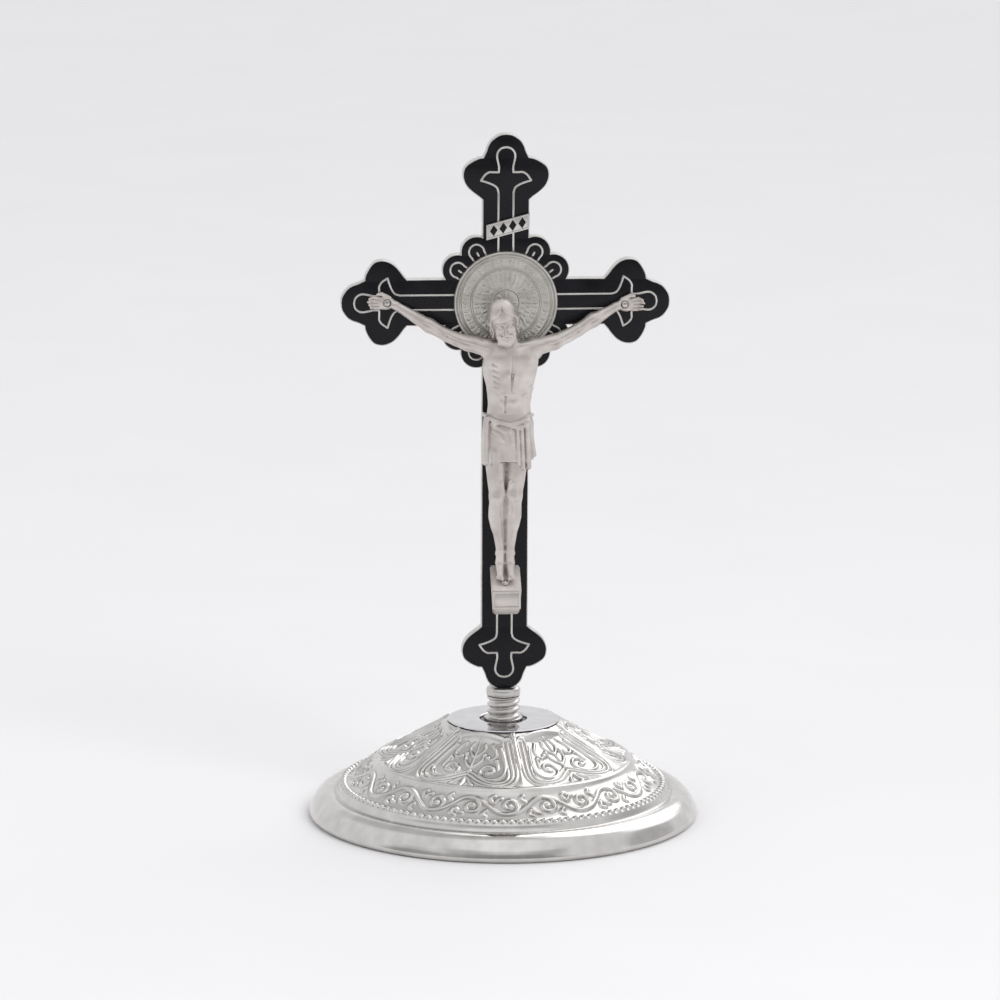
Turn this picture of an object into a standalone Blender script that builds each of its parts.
"""Standing altar cross with corpus: a cast cross with black enamel fields, a round medal,
a cast figure, a title plaque and a threaded stud, on an embossed round base with a
washer and a nut below. Metres, +Z up, front faces -Y. The origin is the centre of the
base's resting plane. Dimensions below are in millimetres."""

import math

import bmesh
import bpy
from mathutils import Matrix, Vector

MM = 0.001
FIT_GAP = 0.04

# Cross plate, drawn about the crossing of its arms
CENTRE_Z = 90.9
ARM_TOP = 29.1
ARM_SIDE = 28.3
ARM_BOTTOM = 68.4
HALF_WIDTH = 4.0
LOBE_R = 4.0
SIDE_LOBE_R = 3.0
SIDE_LOBE_OUT = 4.2
SIDE_LOBE_IN = 7.3
FRONT_Y = -1.65
BACK_Y = 1.65
FLOOR_Y = -1.2
EDGE_CHAMFER = 0.15
RIM_WIDTH = 0.42
LINE_HALF = 0.21
ENAMEL_Y = -1.58

# Scalloped petals round the medal, a pair in each corner of the cross
PETAL_R = 2.75
PETAL_A = (5.0, 8.7)
PETAL_B = (8.2, 5.6)
HORSESHOE_R = 1.3

# Raised line that runs up each arm and closes inside the trefoil: (side, from the tip)
CONTOUR = (
    (1.2, 9.9),
    (1.75, 9.35),
    (3.0, 8.75),
    (4.4, 8.2),
    (3.75, 7.3),
    (2.85, 6.65),
    (1.15, 6.75),
    (1.2, 5.3),
    (1.63, 3.9),
    (1.45, 2.95),
    (0.85, 2.45),
)
CONTOUR_TOP = 2.32

# Medal
MEDAL_R = 8.95
MEDAL_Y = -2.35

# Boss under the bottom lobe, and the stud
BOSS_R = 2.95
BOSS_BOTTOM = 21.3
BOSS_TOP = 22.85
TENON_R = 1.3
TENON_TOP = 22.3
THREAD_R = 2.85
THREAD_ROOT = 2.4
PITCH = 1.27
FLANGE_R = 3.35
FLANGE_BOTTOM = 16.28
FLANGE_TOP = 17.5
STUD_BOTTOM = 3.5

# Base
BASE_R = 33.85
SEAT_Z = 16.2
PLATE_UNDER_Z = 15.0
BORE_R = 3.1
COLLAR_R = 11.2
RIB_COUNT = 6
DISC_R = 9.7
DISC_Z = 17.2
DISC_HOLE_R = 4.1

# Fastening below
WASHER_TOP = 14.9
WASHER_THICK = 0.8
WASHER_R = 5.6
NUT_TOP = 14.0
NUT_THICK = 3.0
NUT_FLATS = 9.0
FAST_BORE_R = 2.98


def make_collection(name):
    group = bpy.data.collections.new(name)
    bpy.context.scene.collection.children.link(group)
    return group


def make_material(name, colour, metallic, roughness):
    mat = bpy.data.materials.new(name)
    mat.use_nodes = True
    shader = mat.node_tree.nodes["Principled BSDF"]
    shader.inputs["Base Color"].default_value = (*colour, 1.0)
    shader.inputs["Metallic"].default_value = metallic
    shader.inputs["Roughness"].default_value = roughness
    return mat


def make_axis(name, height):
    """An empty on the swivel axis, for the pieces that turn or slide together."""
    axis = bpy.data.objects.new(name, None)
    axis.location = (0, 0, height * MM)
    axis.empty_display_size = 5 * MM
    PARTS.objects.link(axis)
    return axis


def add_object(name, data, mat, location=(0, 0, 0), rotation=(0, 0, 0), parent=None):
    """A part, or a hidden cutter where no material is given."""
    obj = bpy.data.objects.new(name, data)
    obj.location = Vector(location) * MM
    obj.rotation_euler = rotation
    if mat:
        data.materials.append(mat)
        PARTS.objects.link(obj)
    else:
        CUTTERS.objects.link(obj)
        obj.hide_render = True
        obj.display_type = "WIRE"
    if parent:
        obj.parent = parent
        obj.matrix_parent_inverse = Matrix.Translation(-parent.location)
    return obj


def add_boolean(obj, other, operation):
    mod = obj.modifiers.new(operation.lower() + "_" + other.name, "BOOLEAN")
    mod.operation = operation
    mod.solver = "EXACT"
    mod.object = other


def turned(name, profile, steps, mat, location=(0, 0, 0), rotation=(0, 0, 0), parent=None):
    """A Screw of (radius, height) points that run down the outer side. A profile off the
    axis is closed into a ring, and one that starts on the axis ends on it."""
    count = len(profile)
    edges = [(i, i + 1) for i in range(count - 1)]
    if profile[0][0] > 0:
        edges.append((count - 1, 0))
    mesh = bpy.data.meshes.new(name)
    mesh.from_pydata([(r * MM, 0, z * MM) for r, z in profile], edges, [])
    obj = add_object(name, mesh, mat, location, rotation, parent)
    screw = obj.modifiers.new("turn", "SCREW")
    screw.axis = "Z"
    screw.angle = 2 * math.pi
    screw.steps = steps
    screw.render_steps = steps
    screw.use_merge_vertices = True
    screw.merge_threshold = 0.000001
    screw.use_smooth_shade = True
    return obj


UPRIGHT = (math.radians(90), 0, 0)
DRAWN_TURN = math.radians(7)


def flat(name, loops, front, back, mat, chamfer=0.0, parent=None, height=CENTRE_Z):
    """A flat piece that stands in the XZ plane between two depths: a filled 2D curve whose
    first loop is the outline and whose others are holes, made a mesh. It is drawn turned,
    because the fill leaves slivers where corners of several holes line up."""
    turn = Matrix.Rotation(DRAWN_TURN, 3, "Z")
    curve = bpy.data.curves.new(name, "CURVE")
    curve.dimensions = "2D"
    curve.fill_mode = "BOTH"
    curve.resolution_u = 1
    curve.extrude = ((back - front) / 2 - chamfer) * MM
    curve.bevel_depth = chamfer * MM
    curve.bevel_resolution = 0
    curve.offset = -chamfer * MM
    for loop in loops:
        spline = curve.splines.new("POLY")
        spline.points.add(len(loop) - 1)
        for point, (x, z) in zip(spline.points, loop):
            point.co = (*(turn @ Vector((x * MM, z * MM, 0))), 1)
        spline.use_cyclic_u = True
    drawn = bpy.data.objects.new(name + "_curve", curve)
    bpy.context.scene.collection.objects.link(drawn)
    graph = bpy.context.evaluated_depsgraph_get()
    mesh = bpy.data.meshes.new_from_object(drawn.evaluated_get(graph))
    bpy.data.objects.remove(drawn)
    bm = bmesh.new()
    bm.from_mesh(mesh)
    bmesh.ops.remove_doubles(bm, verts=bm.verts, dist=0.000001)
    bmesh.ops.rotate(bm, matrix=turn.inverted(), verts=bm.verts)
    bmesh.ops.recalc_face_normals(bm, faces=bm.faces)
    bm.to_mesh(mesh)
    bm.free()
    place = (0, (front + back) / 2, height)
    return add_object(name, mesh, mat, place, UPRIGHT, parent)


def arc(centre, radius, start, end, steps):
    """Points along an arc, in degrees, both ends kept."""
    points = []
    for i in range(steps + 1):
        angle = math.radians(start + (end - start) * i / steps)
        points.append((centre[0] + radius * math.cos(angle), centre[1] + radius * math.sin(angle)))
    return points


def angle_to(centre, point):
    return math.degrees(math.atan2(point[1] - centre[1], point[0] - centre[0]))


def outer_crossing(a, ra, b, rb):
    """Where two circles cross, farther from the arm's axis."""
    gap = math.dist(a, b)
    along = (gap * gap + ra * ra - rb * rb) / (2 * gap)
    aside = math.sqrt(ra * ra - along * along)
    ux = (b[0] - a[0]) / gap
    uy = (b[1] - a[1]) / gap
    foot = (a[0] + ux * along, a[1] + uy * along)
    one = (foot[0] - uy * aside, foot[1] + ux * aside)
    other = (foot[0] + uy * aside, foot[1] - ux * aside)
    return max(one, other)


def half_trefoil(tip):
    """From the tip of an upward arm of this length down its right side to the plain arm."""
    end = (0.0, tip - LOBE_R)
    side = (SIDE_LOBE_OUT, tip - SIDE_LOBE_IN)
    notch = outer_crossing(end, LOBE_R, side, SIDE_LOBE_R)
    points = arc(end, LOBE_R, 90, angle_to(end, notch), 5)
    points += arc(side, SIDE_LOBE_R, angle_to(side, notch), -65, 6)[1:]
    points.append((HALF_WIDTH + 0.45, side[1] - SIDE_LOBE_R - 0.25))
    points.append((HALF_WIDTH, side[1] - SIDE_LOBE_R - 1.1))
    return points


def corner_petals():
    """The scalloped edge of one corner, from the upper arm's side to the side arm's top."""
    notch = outer_crossing(PETAL_A, PETAL_R, PETAL_B, PETAL_R)
    first = math.degrees(math.acos((HALF_WIDTH - PETAL_A[0]) / PETAL_R))
    last = math.degrees(math.asin((HALF_WIDTH - PETAL_B[1]) / PETAL_R))
    points = arc(PETAL_A, PETAL_R, first, angle_to(PETAL_A, notch), 5)
    points += arc(PETAL_B, PETAL_R, angle_to(PETAL_B, notch), last, 5)[1:]
    return points


def placed(points, sign_x, sign_z, swap=False):
    if swap:
        points = [(z, x) for x, z in points]
    return [(sign_x * x, sign_z * z) for x, z in points]


def cross_outline():
    """The plate's outline, clockwise from the top tip."""
    petals = corner_petals()
    top = half_trefoil(ARM_TOP)
    side = half_trefoil(ARM_SIDE)
    bottom = half_trefoil(ARM_BOTTOM)
    points = placed(top, 1, 1) + placed(petals, 1, 1)
    points += placed(side, 1, 1, True)[::-1][:-1]
    points += placed(side, 1, -1, True) + placed(petals, 1, -1)[::-1]
    points += placed(bottom, 1, -1)[::-1][:-1]
    points += placed(bottom, -1, -1) + placed(petals, -1, -1)
    points += placed(side, -1, -1, True)[::-1][:-1]
    points += placed(side, -1, 1, True) + placed(petals, -1, 1)[::-1]
    points += placed(top, -1, 1)[::-1][:-1]
    return points


def offset(points, distance, closed=True):
    """Moves each edge of a clockwise path outward by this distance, corners mitred."""
    count = len(points)
    moved = []
    for i in range(count):
        before = points[i - 1] if closed or i else points[i]
        after = points[(i + 1) % count] if closed or i < count - 1 else points[i]
        normals = []
        for a, b in ((before, points[i]), (points[i], after)):
            length = math.dist(a, b)
            if length > 0:
                normals.append(((a[1] - b[1]) / length, (b[0] - a[0]) / length))
        nx = sum(n[0] for n in normals) / len(normals)
        nz = sum(n[1] for n in normals) / len(normals)
        size = max(nx * nx + nz * nz, 0.3)
        moved.append((points[i][0] + nx / size * distance, points[i][1] + nz / size * distance))
    return moved


def line_sides(tip):
    """The two sides of an upward arm's raised line, both clockwise from the medal's edge."""
    right = [(s, tip - t) for s, t in CONTOUR]
    left = [(-s, z) for s, z in right]
    path = left + [(0.0, tip - CONTOUR_TOP)] + right[::-1]
    path = [(path[0][0], MEDAL_R)] + path + [(path[-1][0], MEDAL_R)]
    return offset(path, LINE_HALF, False), offset(path, -LINE_HALF, False)


def turn_arm(points, quarter_turns):
    """Turns a shape drawn on the upward arm clockwise to another arm."""
    for _ in range(quarter_turns):
        points = [(z, -x) for x, z in points]
    return points


ARMS = (("top", ARM_TOP), ("right", ARM_SIDE), ("bottom", ARM_BOTTOM), ("left", ARM_SIDE))


def horseshoes(grow):
    """A raised U in each petal, open toward the medal."""
    loops = []
    for sx, sz in ((1, 1), (1, -1), (-1, -1), (-1, 1)):
        for x, z in (PETAL_A, PETAL_B):
            centre = (sx * x, sz * z)
            away = angle_to((0, 0), centre)
            half = 115 + grow * 40
            outer = arc(centre, HORSESHOE_R + 0.19 + grow, away + half, away - half, 5)
            inner = arc(centre, HORSESHOE_R - 0.19 - grow, away + half, away - half, 5)
            loops.append(outer + inner[::-1])
    return loops


def build_casting():
    """The plate, its pocket cut round the raised lines, and a boss bored for the stud."""
    outline = cross_outline()
    casting = flat("cross_casting", [outline], FRONT_Y, BACK_Y, SILVER, EDGE_CHAMFER, CROSS)
    islands = []
    for turns, (_, tip) in enumerate(ARMS):
        outer, inner = line_sides(tip)
        islands.append(turn_arm(outer + inner[::-1], turns))
    loops = [offset(outline, -RIM_WIDTH)] + islands + horseshoes(0.0)
    pocket = flat("enamel_pocket", loops, FRONT_Y - 1, FLOOR_Y, None)
    add_boolean(casting, pocket, "DIFFERENCE")
    boss_profile = [
        (0, BOSS_TOP),
        (BOSS_R - 0.4, BOSS_TOP),
        (BOSS_R, BOSS_TOP - 0.5),
        (BOSS_R, BOSS_BOTTOM + 0.2),
        (BOSS_R - 0.2, BOSS_BOTTOM),
        (TENON_R + 0.06, BOSS_BOTTOM),
        (TENON_R + 0.06, TENON_TOP + 0.1),
        (0, TENON_TOP + 0.1),
    ]
    add_boolean(casting, turned("boss_shape", boss_profile, 30, None), "UNION")


def build_enamel():
    """The black fields: one round the whole cross, and one inside each raised line."""
    hole = []
    hole_r = MEDAL_R + 2 * FIT_GAP
    side = CONTOUR[0][0] + LINE_HALF + FIT_GAP
    off_axis = math.degrees(math.asin(side / hole_r))
    for turns, (arm, tip) in enumerate(ARMS):
        outer, inner = line_sides(tip)
        hole += turn_arm(offset(outer, FIT_GAP, False)[1:-1], turns)
        start = 90 - 90 * turns - off_axis
        hole += arc((0, 0), hole_r, start, start - 90 + 2 * off_axis, 8)
        inside = offset(inner, -FIT_GAP, False)
        ends = [(inside[0][0], hole_r + 0.05), (inside[-1][0], hole_r + 0.05)]
        loop = turn_arm([ends[0]] + inside[1:-1] + [ends[1]], turns)
        name = "enamel_field_" + arm
        flat(name, [loop], ENAMEL_Y, FLOOR_Y - FIT_GAP, ENAMEL, parent=CROSS)
    edge = offset(cross_outline(), -RIM_WIDTH - FIT_GAP)
    depths = (ENAMEL_Y, FLOOR_Y - FIT_GAP)
    field = flat("enamel_outer_field", [edge, hole], *depths, ENAMEL, parent=CROSS)
    lines = flat("horseshoe_room", horseshoes(FIT_GAP), FRONT_Y - 1, FLOOR_Y + 1, None)
    add_boolean(field, lines, "DIFFERENCE")


def build_medal():
    """Turned with its face up, then stood to face the front."""
    face = FRONT_Y - MEDAL_Y + 0.49
    profile = [
        (0, face - 0.3),
        (5.6, face - 0.3),
        (5.8, face - 0.1),
        (6.15, face - 0.1),
        (6.35, face - 0.3),
        (MEDAL_R - 1.0, face - 0.3),
        (MEDAL_R - 0.75, face),
        (MEDAL_R - 0.3, face),
        (MEDAL_R, face - 0.35),
        (MEDAL_R, 0.08),
        (0, 0.08),
    ]
    place = (0, MEDAL_Y + face, CENTRE_Z)
    turned("medal_disc", profile, 40, MEDAL_SILVER, place, UPRIGHT, CROSS)


def build_plaque():
    """A leaning title plaque with upright ends and a sunk panel in a narrow frame."""
    outline = [(-3.4, 10.85), (-3.4, 13.5), (4.0, 15.5), (4.0, 12.85)]
    back = FRONT_Y - FIT_GAP
    plaque = flat("title_plaque", [outline], -2.42, back, SILVER, 0.12, CROSS)
    panel = flat("panel_cut", [offset(outline, -0.4)], -3.4, -2.2, None)
    add_boolean(plaque, panel, "DIFFERENCE")


def ball(bm, centre, radii, lean=0.0):
    """An ellipsoid, its top leaned toward -X by these degrees."""
    stretch = Matrix.Diagonal((*radii, 1.0))
    turn = Matrix.Rotation(math.radians(-lean), 4, "Y")
    matrix = Matrix.Scale(MM, 4) @ Matrix.Translation(centre) @ turn @ stretch
    bmesh.ops.create_uvsphere(bm, u_segments=20, v_segments=14, radius=1.0, matrix=matrix)


def limb(bm, a, b, ra, rb):
    """A tapered limb with round ends."""
    a = Vector(a)
    b = Vector(b)
    turn = (b - a).to_track_quat("Z", "Y").to_matrix().to_4x4()
    matrix = Matrix.Scale(MM, 4) @ Matrix.Translation((a + b) / 2) @ turn
    size = {"radius1": ra, "radius2": rb, "depth": (b - a).length}
    bmesh.ops.create_cone(bm, cap_ends=True, segments=16, matrix=matrix, **size)
    ball(bm, a, (ra, ra, ra))
    ball(bm, b, (rb, rb, rb))


def head_and_trunk(bm):
    # head bowed and leaning: skull, hair down to the shoulders, beard, nose, neck
    ball(bm, (-1.45, -6.1, 89.2), (2.35, 2.55, 2.95), 12)
    ball(bm, (-1.5, -5.6, 89.4), (2.6, 2.5, 2.9), 12)
    limb(bm, (-3.3, -5.6, 88.6), (-2.6, -4.9, 84.9), 1.0, 0.7)
    limb(bm, (0.7, -5.6, 88.0), (1.4, -4.9, 84.7), 1.0, 0.7)
    limb(bm, (-0.9, -7.3, 86.9), (-0.35, -7.5, 85.0), 1.35, 0.6)
    limb(bm, (-1.35, -8.5, 89.1), (-1.15, -8.85, 88.1), 0.22, 0.4)
    limb(bm, (-0.9, -5.4, 87.4), (0.3, -4.7, 83.8), 1.5, 1.7)
    # chest, ribs, belly, hips
    ball(bm, (0.75, -4.75, 80.9), (4.6, 2.1, 3.8))
    ball(bm, (-1.2, -5.7, 81.4), (2.3, 1.35, 1.9))
    ball(bm, (2.7, -5.7, 81.4), (2.3, 1.35, 1.9))
    ball(bm, (0.6, -4.75, 78.4), (4.2, 2.25, 4.6))
    ball(bm, (0.45, -4.65, 75.2), (3.75, 2.2, 5.2))
    ball(bm, (0.4, -4.5, 71.6), (3.95, 2.3, 4.2))


def arms_and_hands(bm):
    # arms rise to the hands from the shoulders
    limb(bm, (-3.4, -4.3, 83.4), (-5.6, -4.0, 84.2), 1.7, 1.5)
    limb(bm, (-5.6, -4.0, 84.2), (-10.3, -3.6, 85.5), 1.45, 1.15)
    limb(bm, (-10.3, -3.6, 85.5), (-13.4, -3.35, 87.3), 1.2, 1.35)
    limb(bm, (-13.4, -3.35, 87.3), (-18.9, -2.65, 90.7), 1.35, 0.8)
    limb(bm, (4.9, -4.3, 83.4), (7.0, -4.0, 84.0), 1.7, 1.5)
    limb(bm, (7.0, -4.0, 84.0), (12.2, -3.6, 86.2), 1.45, 1.15)
    limb(bm, (12.2, -3.6, 86.2), (14.7, -3.35, 87.9), 1.2, 1.3)
    limb(bm, (14.7, -3.35, 87.9), (18.8, -2.65, 90.2), 1.3, 0.8)
    # palm, two pairs of fingers, thumb
    for side, lift in ((-1, 0.6), (1, 0.0)):
        ball(bm, (side * 20.6, -2.3, 90.5 + lift), (1.75, 0.55, 1.35))
        limb(bm, (side * 21.2, -2.35, 90.8 + lift), (side * 23.4, -2.3, 91.2 + lift), 0.5, 0.38)
        limb(bm, (side * 21.2, -2.35, 90.2 + lift), (side * 23.6, -2.3, 90.2 + lift), 0.5, 0.38)
        limb(bm, (side * 20.3, -2.4, 91.2 + lift), (side * 21.6, -2.35, 91.9 + lift), 0.42, 0.34)


def cloth_and_legs(bm):
    # loincloth: wrap, rolled belt, hanging fold
    ball(bm, (0.4, -4.5, 68.0), (4.45, 2.6, 4.4))
    limb(bm, (-2.0, -4.6, 66.6), (-2.1, -4.9, 64.6), 2.2, 2.15)
    limb(bm, (2.4, -4.6, 66.6), (2.1, -4.9, 64.6), 2.3, 2.2)
    limb(bm, (-3.7, -5.2, 71.2), (0.4, -6.7, 70.1), 0.75, 0.8)
    limb(bm, (0.4, -6.7, 70.1), (4.5, -5.2, 70.9), 0.8, 0.8)
    limb(bm, (4.2, -4.9, 70.3), (4.5, -4.6, 64.9), 0.85, 0.65)
    # thighs, knees forward, shins, feet side by side on the footrest
    limb(bm, (-1.9, -4.8, 65.2), (-1.65, -6.0, 57.6), 2.1, 1.6)
    limb(bm, (1.9, -4.8, 65.2), (1.25, -6.2, 57.9), 2.1, 1.6)
    ball(bm, (-1.7, -6.6, 57.6), (1.3, 1.1, 1.5))
    ball(bm, (1.2, -6.8, 57.9), (1.3, 1.1, 1.5))
    limb(bm, (-1.65, -6.0, 57.6), (-1.5, -5.2, 53.6), 1.55, 1.45)
    limb(bm, (1.25, -6.2, 57.9), (0.9, -5.5, 53.9), 1.55, 1.45)
    limb(bm, (-1.5, -5.2, 53.6), (-0.95, -4.0, 47.6), 1.45, 0.85)
    limb(bm, (0.9, -5.4, 53.9), (0.75, -4.0, 47.6), 1.45, 0.85)
    limb(bm, (-0.95, -4.0, 47.6), (-1.1, -3.7, 45.2), 0.85, 0.85)
    limb(bm, (0.75, -4.0, 47.6), (1.0, -3.7, 45.2), 0.85, 0.85)
    limb(bm, (-1.1, -3.7, 45.2), (-1.3, -5.0, 43.3), 0.8, 0.55)
    limb(bm, (1.0, -3.7, 45.2), (1.25, -5.0, 43.3), 0.8, 0.55)


def build_corpus():
    """Rounded primitives blended into one figure, cut flat where it lies on the cross."""
    bm = bmesh.new()
    head_and_trunk(bm)
    arms_and_hands(bm)
    cloth_and_legs(bm)
    mesh = bpy.data.meshes.new("corpus_figure")
    bm.to_mesh(mesh)
    bm.free()
    corpus = add_object("corpus_figure", mesh, FIGURE, parent=CROSS)
    blend = corpus.modifiers.new("blend", "REMESH")
    blend.mode = "VOXEL"
    blend.voxel_size = 0.28 * MM
    blend.use_smooth_shade = True
    thin = corpus.modifiers.new("thin", "DECIMATE")
    thin.ratio = 0.056
    wall = [(-35, -45), (-35, 45), (35, 45), (35, -45)]
    plane = flat("corpus_back_plane", [wall], FRONT_Y - 0.06, 6, None)
    add_boolean(corpus, plane, "DIFFERENCE")
    add_boolean(corpus, footrest("footrest_room", 0.06, None), "DIFFERENCE")
    for name, place, rotation in HAND_NAILS:
        room = turned(name + "_room", nail_profile(0.05), 20, None, place, rotation)
        add_boolean(corpus, room, "DIFFERENCE")


def footrest(name, grow, mat):
    """A sloping block: its side profile (depth, height), pushed out across its width."""
    profile = [
        (FRONT_Y - FIT_GAP, 44.9 + grow),
        (-6.4 - grow, 41.25 + grow),
        (-6.4 - grow, 38.0),
        (-5.7, 36.9),
        (FRONT_Y - FIT_GAP, 36.2),
    ]
    half = 2.6 + grow
    block = flat(name, [profile], -half, half, mat, 0.0 if grow else 0.12, height=0)
    block.location = (0, 0, 0)
    block.rotation_euler = (math.radians(90), 0, math.radians(90))
    if mat:
        block.parent = CROSS
        block.matrix_parent_inverse = Matrix.Translation(-CROSS.location)
    return block


# Nails and the footrest's peg: name, place of the head's underside, rotation
HAND_NAILS = (
    ("hand_nail_left", (-20.4, -2.95, 91.1), UPRIGHT),
    ("hand_nail_right", (20.4, -2.95, 90.5), UPRIGHT),
)
FOOT_PEG = ("foot_peg", (-0.1, -5.15, 42.5), (math.radians(37.8), 0, 0))


def nail_profile(grow):
    """A domed head above the origin and a short shank below it."""
    return [
        (0, 0.3 + grow),
        (0.4 + grow, 0.22 + grow),
        (0.6 + grow, 0.0),
        (0.55 + grow, -0.2 - grow),
        (0.28 + grow, -0.2 - grow),
        (0.28 + grow, -0.75 - grow),
        (0, -0.75 - grow),
    ]


def build_footrest_and_nails():
    block = footrest("footrest_block", 0.0, FIGURE)
    name, place, rotation = FOOT_PEG
    room = turned(name + "_room", nail_profile(0.05), 20, None, place, rotation)
    add_boolean(block, room, "DIFFERENCE")
    for name, place, rotation in HAND_NAILS + (FOOT_PEG,):
        turned(name, nail_profile(0.0), 16, STEEL, place, rotation, CROSS)


def build_stud():
    """Tenon into the cross, thread crests, a flange on the base, and a long shank."""
    profile = [(0, TENON_TOP), (TENON_R - 0.15, TENON_TOP), (TENON_R, TENON_TOP - 0.15)]
    profile += [(TENON_R, BOSS_BOTTOM - FIT_GAP), (THREAD_ROOT, BOSS_BOTTOM - FIT_GAP)]
    z = BOSS_BOTTOM - 0.25
    while z - PITCH > FLANGE_TOP - 0.3:
        profile += [(THREAD_ROOT, z), (THREAD_R, z - PITCH / 2)]
        z -= PITCH
    profile += [(THREAD_ROOT, FLANGE_TOP), (FLANGE_R - 0.15, FLANGE_TOP)]
    profile += [(FLANGE_R, FLANGE_TOP - 0.15), (FLANGE_R, FLANGE_BOTTOM), (THREAD_R, FLANGE_BOTTOM)]
    z = FLANGE_BOTTOM - 1.6
    profile.append((THREAD_R, z))
    while z - PITCH > STUD_BOTTOM + 0.4:
        profile += [(THREAD_ROOT, z - PITCH / 2), (THREAD_R, z - PITCH)]
        z -= PITCH
    profile += [(THREAD_ROOT, STUD_BOTTOM), (0, STUD_BOTTOM)]
    turned("threaded_stud", profile, 20, STEEL, parent=CROSS)


def build_base():
    """Embossed dome: one thin shell, open below, with a flat bored seat on top."""
    profile = [
        (BORE_R, SEAT_Z),
        (COLLAR_R - 0.6, SEAT_Z),
        (COLLAR_R + 0.1, 15.75),
        (21.9, 10.05),
        (22.35, 10.1),
        (22.7, 9.5),
        (27.1, 5.95),
        (27.4, 5.7),
        (27.95, 5.95),
        (28.5, 5.5),
        (28.75, 4.85),
        (29.3, 4.15),
        (29.8, 4.35),
        (30.5, 4.5),
        (BASE_R - 2.5, 4.3),
        (BASE_R - 1.2, 3.3),
        (BASE_R - 0.35, 2.0),
        (BASE_R, 0.95),
        (BASE_R - 0.05, 0.3),
        (BASE_R - 0.35, 0.0),
        (32.6, 0.0),
        (32.5, 0.7),
        (31.8, 1.9),
        (29.6, 2.8),
        (27.6, 3.5),
        (25.6, 5.1),
        (21.8, 8.8),
        (COLLAR_R - 1.0, PLATE_UNDER_Z),
        (BORE_R, PLATE_UNDER_Z),
    ]
    base = turned("base_shell", profile, 60, SILVER)
    # ribs run down the upper slope, which falls 5.7 over 10.6
    slope = math.atan2(5.7, 10.6)
    for i in range(RIB_COUNT):
        bm = bmesh.new()
        bmesh.ops.create_cube(bm, size=1.0)
        bmesh.ops.scale(bm, vec=(11.6 * MM, 0.9 * MM, 0.9 * MM), verts=bm.verts)
        mesh = bpy.data.meshes.new(f"rib_{i + 1}")
        bm.to_mesh(mesh)
        bm.free()
        around = math.radians(-90 + 360 * i / RIB_COUNT)
        place = (16.6 * math.cos(around), 16.6 * math.sin(around), 12.85)
        rib = add_object(f"rib_{i + 1}", mesh, None, place, (0, slope, around))
        add_boolean(base, rib, "UNION")


def build_cap_disc():
    low = SEAT_Z + 0.05
    profile = [
        (DISC_HOLE_R + 0.1, DISC_Z),
        (DISC_R - 0.15, DISC_Z),
        (DISC_R, DISC_Z - 0.15),
        (DISC_R, low + 0.25),
        (DISC_R - 0.25, low),
        (DISC_HOLE_R, low),
        (DISC_HOLE_R, DISC_Z - 0.1),
    ]
    turned("cap_disc", profile, 48, MIRROR)


def build_fastening():
    """A plain washer, and a hexagon nut cut from a chamfered round blank."""
    washer_low = WASHER_TOP - WASHER_THICK
    washer = [
        (FAST_BORE_R, WASHER_TOP),
        (WASHER_R, WASHER_TOP),
        (WASHER_R, washer_low),
        (FAST_BORE_R, washer_low),
    ]
    turned("lock_washer", washer, 30, STEEL, parent=FASTENING)
    corner = NUT_FLATS / math.sqrt(3)
    low = NUT_TOP - NUT_THICK
    blank = [
        (FAST_BORE_R, NUT_TOP),
        (corner - 0.5, NUT_TOP),
        (corner, NUT_TOP - 0.35),
        (corner, low + 0.35),
        (corner - 0.5, low),
        (FAST_BORE_R, low),
    ]
    nut = turned("hex_nut", blank, 36, STEEL, parent=FASTENING)
    bm = bmesh.new()
    reach = (corner - 0.001) * MM
    size = {"radius1": reach, "radius2": reach, "depth": (NUT_THICK + 2) * MM}
    bmesh.ops.create_cone(bm, cap_ends=True, segments=6, **size)
    mesh = bpy.data.meshes.new("nut_flats")
    bm.to_mesh(mesh)
    bm.free()
    flats = add_object("nut_flats", mesh, None, (0, 0, (NUT_TOP + low) / 2))
    add_boolean(nut, flats, "INTERSECT")


for thing in list(bpy.data.objects):
    bpy.data.objects.remove(thing)
PARTS = make_collection("altar_cross")
CUTTERS = make_collection("cutters")
SILVER = make_material("nickel_plate", (0.72, 0.71, 0.69), 1.0, 0.22)
MIRROR = make_material("polished_nickel", (0.80, 0.79, 0.82), 1.0, 0.05)
ENAMEL = make_material("black_enamel", (0.012, 0.012, 0.016), 0.0, 0.12)
MEDAL_SILVER = make_material("antique_silver", (0.52, 0.51, 0.47), 1.0, 0.35)
FIGURE = make_material("satin_silver", (0.74, 0.71, 0.68), 1.0, 0.3)
STEEL = make_material("zinc_steel", (0.62, 0.62, 0.62), 1.0, 0.28)
CROSS = make_axis("cross_swivel_axis", FLANGE_BOTTOM)
FASTENING = make_axis("fastening_axis", WASHER_TOP)

build_base()
build_cap_disc()
build_fastening()
build_stud()
build_casting()
build_enamel()
build_medal()
build_plaque()
build_footrest_and_nails()
build_corpus()
